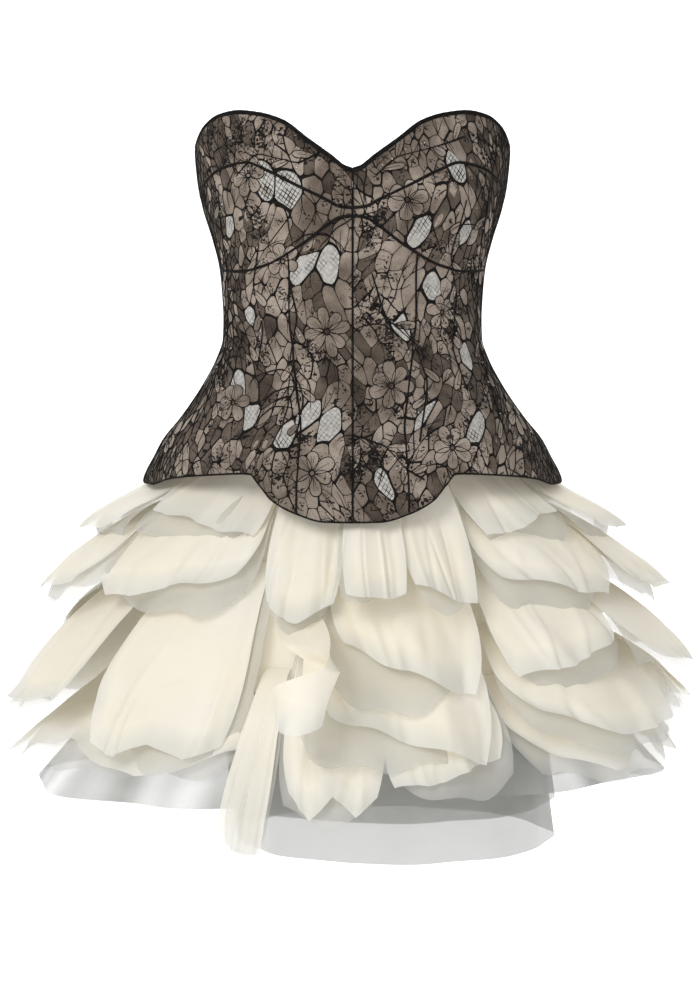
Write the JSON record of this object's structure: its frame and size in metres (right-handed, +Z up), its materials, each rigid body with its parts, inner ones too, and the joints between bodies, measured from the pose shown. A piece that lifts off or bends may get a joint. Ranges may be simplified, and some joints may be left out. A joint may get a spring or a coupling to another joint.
{
  "type": "cocktail dress",
  "caption": "Strapless short dress in its worn, hollow form: a lace bodice with a pointed peplum over a wide skirt of pointed organza petals.",
  "frame": {"origin": "centre of the waist, where the wearer holds the dress up", "axes": "+Z up along the body, -Y the way the wearer faces, +X the wearer's left"},
  "size_m": [0.6674, 0.5569, 0.694],
  "materials": {
    "lace": "black corded floral lace over a taupe ground",
    "edge_cord": "black cord, matte",
    "organza": "ivory organza with a soft sheen",
    "underskirt": "sheer ivory organza in a single layer",
    "zip_tape": "black woven tape with a closed coil",
    "zip_metal": "black enamel"
  },
  "bodies": {
    "dress": {"cup_upper_left": "lace", "cup_upper_right": "lace", "cup_lower_left": "lace", "cup_lower_right": "lace", "centre_front_left": "lace", "centre_front_right": "lace", "side_front_left": "lace", "side_front_right": "lace", "side_back_left": "lace", "side_back_right": "lace", "back_left": "lace", "back_right": "lace", "neck_binding": "edge_cord", "zip_tape": "zip_tape", "zip_slider": "zip_metal", "skirt_foundation": "organza", "underskirt_inner": "underskirt", "underskirt_outer": "underskirt", "flounce": "underskirt", "tier_1_petal_1": "organza", "tier_1_petal_2": "organza", "tier_1_petal_3": "organza", "tier_1_petal_4": "organza", "tier_1_petal_5": "organza", "tier_1_petal_6": "organza", "tier_1_petal_7": "organza", "tier_2_petal_1": "organza", "tier_2_petal_2": "organza", "tier_2_petal_3": "organza", "tier_2_petal_4": "organza", "tier_2_petal_5": "organza", "tier_2_petal_6": "organza", "tier_2_petal_7": "organza", "tier_3_petal_1": "organza", "tier_3_petal_2": "organza", "tier_3_petal_3": "organza", "tier_3_petal_4": "organza", "tier_3_petal_5": "organza", "tier_4_petal_1": "organza", "tier_4_petal_2": "organza", "tier_4_petal_3": "organza", "tier_4_petal_4": "organza", "tier_5_petal_1": "organza", "tier_5_petal_2": "organza", "tier_5_petal_3": "organza", "tier_5_petal_4": "organza", "side_panel_back": "organza", "side_panel_front": "organza", "front_top_left": "organza", "front_top_centre": "organza", "front_top_right": "organza", "front_middle": "organza", "front_lower": "organza", "front_hem_left": "organza", "front_hem_right": "organza", "front_strip": "organza", "rolled_petal": "organza"},
    "pull": {"zip_pull": "zip_metal"}
  },
  "joints": [
    {"name": "zip_pull_hinge", "type": "hinge", "parent": "dress", "child": "pull", "pos_m": [0, 0.0975, 0.1385], "axis": [1, 0, 0], "range_deg": [0, 170]}
  ]
}
